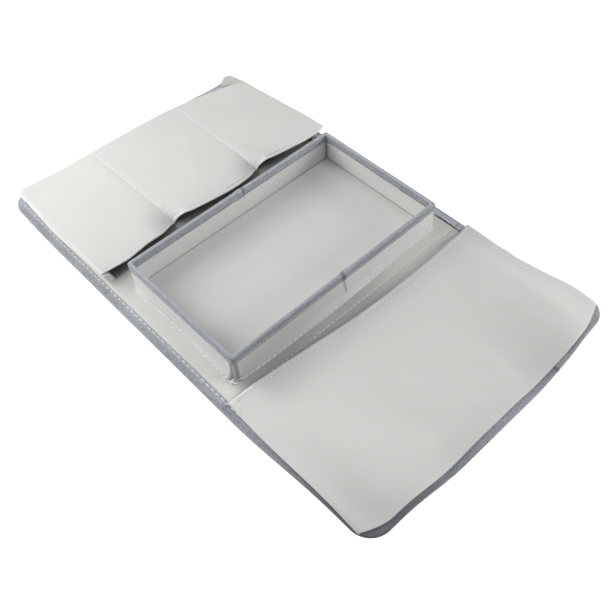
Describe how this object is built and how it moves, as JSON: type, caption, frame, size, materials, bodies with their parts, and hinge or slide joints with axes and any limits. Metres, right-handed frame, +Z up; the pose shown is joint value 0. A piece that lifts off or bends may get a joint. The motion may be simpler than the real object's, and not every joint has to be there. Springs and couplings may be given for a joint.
{
  "type": "sofa armrest organizer",
  "caption": "Cloth organizer laid over a sofa arm: flat middle section with a boarded tray, folding side panels with stitched pockets and a wide pocket.",
  "frame": {"origin": "centre of the mat's footprint, on the surface that it lies on", "axes": "+X along the mat from the three-pocket panel to the wide-pocket panel, +Y across the mat along the fold lines, +Z up out of the tray"},
  "size_m": [0.6, 0.35, 0.0436],
  "materials": {
    "pocket_cloth": "matt light warm-grey non-woven cloth with light grey stitching",
    "mat_cloth": "matt light grey non-woven cloth",
    "tray_cloth": "matt light grey non-woven cloth over board",
    "back_cloth": "matt grey non-woven cloth",
    "binding_tape": "woven blue-grey binding tape with a fine rib",
    "stiffening_board": "uncoated greyboard, hidden inside the cloth"
  },
  "bodies": {
    "middle_section": {"centre_back_cover": "back_cloth", "centre_board": "stiffening_board", "centre_lining": "mat_cloth", "centre_binding_near": "binding_tape", "centre_binding_far": "binding_tape", "tray_base_board": "stiffening_board", "tray_floor_cloth": "tray_cloth", "tray_outer_cover": "tray_cloth", "tray_inner_lining": "tray_cloth", "tray_rim_binding": "binding_tape", "tray_wall_board_left": "stiffening_board", "tray_wall_board_right": "stiffening_board", "tray_wall_board_near": "stiffening_board", "tray_wall_board_far": "stiffening_board"},
    "left_panel": {"left_back_cover": "back_cloth", "left_board": "stiffening_board", "left_lining": "mat_cloth", "left_binding": "binding_tape", "three_pocket_front": "pocket_cloth", "three_pocket_near_gusset": "pocket_cloth", "three_pocket_far_gusset": "pocket_cloth", "three_pocket_end_gusset": "pocket_cloth"},
    "right_panel": {"right_back_cover": "back_cloth", "right_board": "stiffening_board", "right_lining": "mat_cloth", "right_binding": "binding_tape", "wide_pocket_front": "pocket_cloth", "wide_pocket_end": "pocket_cloth", "wide_pocket_near_gusset": "pocket_cloth", "wide_pocket_far_gusset": "pocket_cloth"}
  },
  "joints": [
    {"name": "left_fold", "type": "hinge", "parent": "middle_section", "child": "left_panel", "pos_m": [-0.1015, 0, 0.00195], "axis": [0, -1, 0], "range_deg": [-75, 95]},
    {"name": "right_fold", "type": "hinge", "parent": "middle_section", "child": "right_panel", "pos_m": [0.1015, 0, 0.00195], "axis": [0, 1, 0], "range_deg": [-75, 95]}
  ]
}
